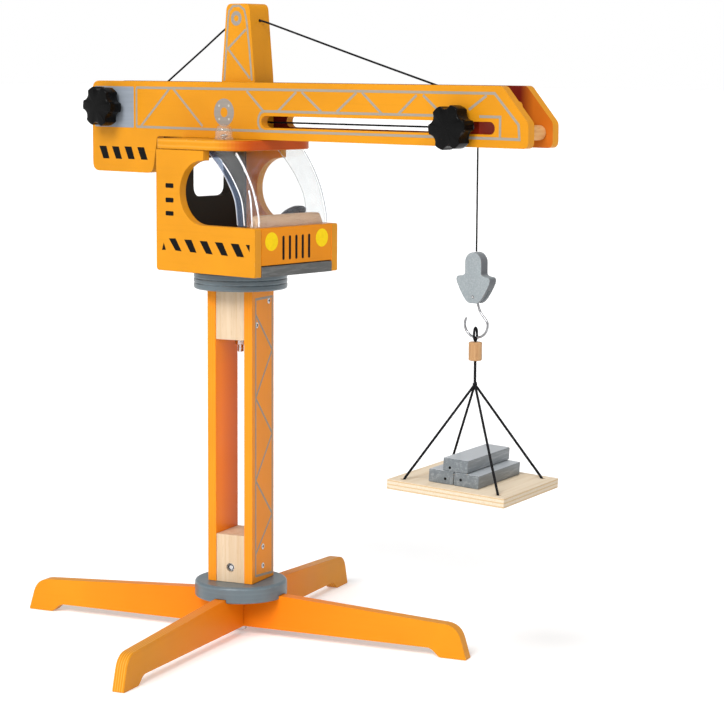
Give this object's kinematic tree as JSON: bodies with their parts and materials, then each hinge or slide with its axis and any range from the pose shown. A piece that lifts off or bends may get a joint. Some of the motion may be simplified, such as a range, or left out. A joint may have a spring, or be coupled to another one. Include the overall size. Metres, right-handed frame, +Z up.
{
  "type": "toy tower crane",
  "caption": "Wooden toy tower crane on crossed feet: turning cab, jib with sliding trolley and hand winch, cord with hook block, and wooden beams on a slung pallet.",
  "frame": {"origin": "on the floor under the mast axis", "axes": "+X along the jib to its tip, +Y to the far side of the jib away from the hand knobs, +Z up"},
  "size_m": [0.5781, 0.4554, 0.6],
  "materials": {
    "orange_paint": "satin orange paint on plywood",
    "trolley_paint": "satin red-orange paint",
    "grey_paint": "satin blue-grey paint on wood",
    "beam_paint": "matte blue-grey paint",
    "beech": "clear satin varnish",
    "pale_ply": "bare sanded plywood",
    "cab_dark": "matte charcoal paint",
    "clear_sheet": "clear gloss plastic",
    "black_plastic": "moulded gloss",
    "cord_black": "braided cord",
    "screw_steel": "zinc plated",
    "hook_wire": "polished wire"
  },
  "bodies": {
    "stand": {"leg_board_a": "orange_paint", "leg_board_b": "orange_paint", "base_disc": "grey_paint", "base_bolt": "screw_steel", "barrel_nut": "screw_steel", "mast_board_left": "orange_paint", "mast_board_right": "orange_paint", "mast_block_bottom": "beech", "mast_block_top": "beech", "mast_screw_1": "screw_steel", "mast_screw_2": "screw_steel", "mast_screw_3": "screw_steel", "mast_screw_4": "screw_steel", "mast_screw_5": "screw_steel", "mast_screw_6": "screw_steel", "mast_screw_7": "screw_steel", "mast_screw_8": "screw_steel", "turntable_disc": "grey_paint", "slew_bolt": "screw_steel", "slew_nut": "screw_steel"},
    "upper": {"cab_side_right": "orange_paint", "cab_side_left": "orange_paint", "cab_floor": "cab_dark", "cab_back_panel": "cab_dark", "cab_front_panel": "orange_paint", "cab_bumper": "grey_paint", "cab_dashboard": "beech", "cab_roof": "orange_paint", "windshield": "clear_sheet", "beacon_dome": "clear_sheet", "jib_board_right": "orange_paint", "jib_board_left": "orange_paint", "peak_block": "orange_paint", "tip_dowel": "beech", "tip_spacer": "orange_paint", "rear_dowel": "beech", "stay_pin_rear": "beech", "stay_pin_front": "beech", "stay_cord": "cord_black", "hoist_cord_run": "cord_black"},
    "steering": {"steering_wheel": "black_plastic"},
    "winch": {"winch_knob": "black_plastic", "winch_spool": "beech", "winch_coil": "cord_black", "winch_cap": "black_plastic"},
    "trolley": {"trolley_block": "trolley_paint", "trolley_bolt": "screw_steel", "hoist_cord_bend": "cord_black"},
    "trolley_clamp": {"trolley_knob": "black_plastic"},
    "hoist_line": {"hoist_cord_drop": "cord_black"},
    "hook_weight": {"hook_block": "grey_paint", "hook_pin": "screw_steel"},
    "hook": {"wire_hook": "hook_wire", "sling_loop": "cord_black"},
    "load": {"wood_bead": "beech", "sling_cords": "cord_black", "pallet": "pale_ply"},
    "beam_left": {"beam_lower_left": "beam_paint"},
    "beam_right": {"beam_lower_right": "beam_paint"},
    "beam_upper": {"beam_top": "beam_paint"}
  },
  "joints": [
    {"name": "slew", "type": "hinge", "parent": "stand", "child": "upper", "pos_m": [0, 0, 0.343], "axis": [0, 0, 1], "continuous": true},
    {"name": "steering_turn", "type": "hinge", "parent": "upper", "child": "steering", "pos_m": [0.042, 0.026, 0.404], "axis": [-0.5736, 0, 0.8192], "continuous": true},
    {"name": "trolley_travel", "type": "slide", "parent": "upper", "child": "trolley", "axis": [1, 0, 0], "range_m": [-0.168, 0.032], "deforming": ["hoist_cord_run"]},
    {"name": "trolley_knob_turn", "type": "hinge", "parent": "trolley", "child": "trolley_clamp", "pos_m": [0.2775, -0.03, 0.4922], "axis": [0, -1, 0], "continuous": true},
    {"name": "line_swing", "type": "hinge", "parent": "trolley", "child": "hoist_line", "pos_m": [0.28105, 0, 0.479], "axis": [-1, 0, 0], "range_deg": [-12, 12]},
    {"name": "hoist", "type": "slide", "parent": "hoist_line", "child": "hook_weight", "axis": [0, 0, -1], "range_m": [-0.085, 0.15], "deforming": ["hoist_cord_drop"]},
    {"name": "winch_turn", "type": "hinge", "parent": "upper", "child": "winch", "pos_m": [-0.1539, 0, 0.5032], "axis": [0, 1, 0], "range_deg": [-1030, 590]},
    {"name": "hook_swing", "type": "hinge", "parent": "hook_weight", "child": "hook", "pos_m": [0.28105, 0, 0.3458], "axis": [0, 1, 0], "range_deg": [-10, 10]},
    {"name": "load_turn", "type": "hinge", "parent": "hook", "child": "load", "pos_m": [0.28105, 0, 0.3065], "axis": [0, 0, 1], "continuous": true},
    {"name": "beam_left_slide", "type": "slide", "parent": "load", "child": "beam_left", "axis": [0.2011, -0.9796, 0], "range_m": [0, 0.11]},
    {"name": "beam_right_slide", "type": "slide", "parent": "load", "child": "beam_right", "axis": [0.2011, -0.9796, 0], "range_m": [0, 0.11]},
    {"name": "beam_upper_slide", "type": "slide", "parent": "load", "child": "beam_upper", "axis": [0.2011, -0.9796, 0], "range_m": [0, 0.11]}
  ],
  "couplings": [
    {"joint": "winch_turn", "follows": "hoist", "rad_per_m": -118.34}
  ]
}
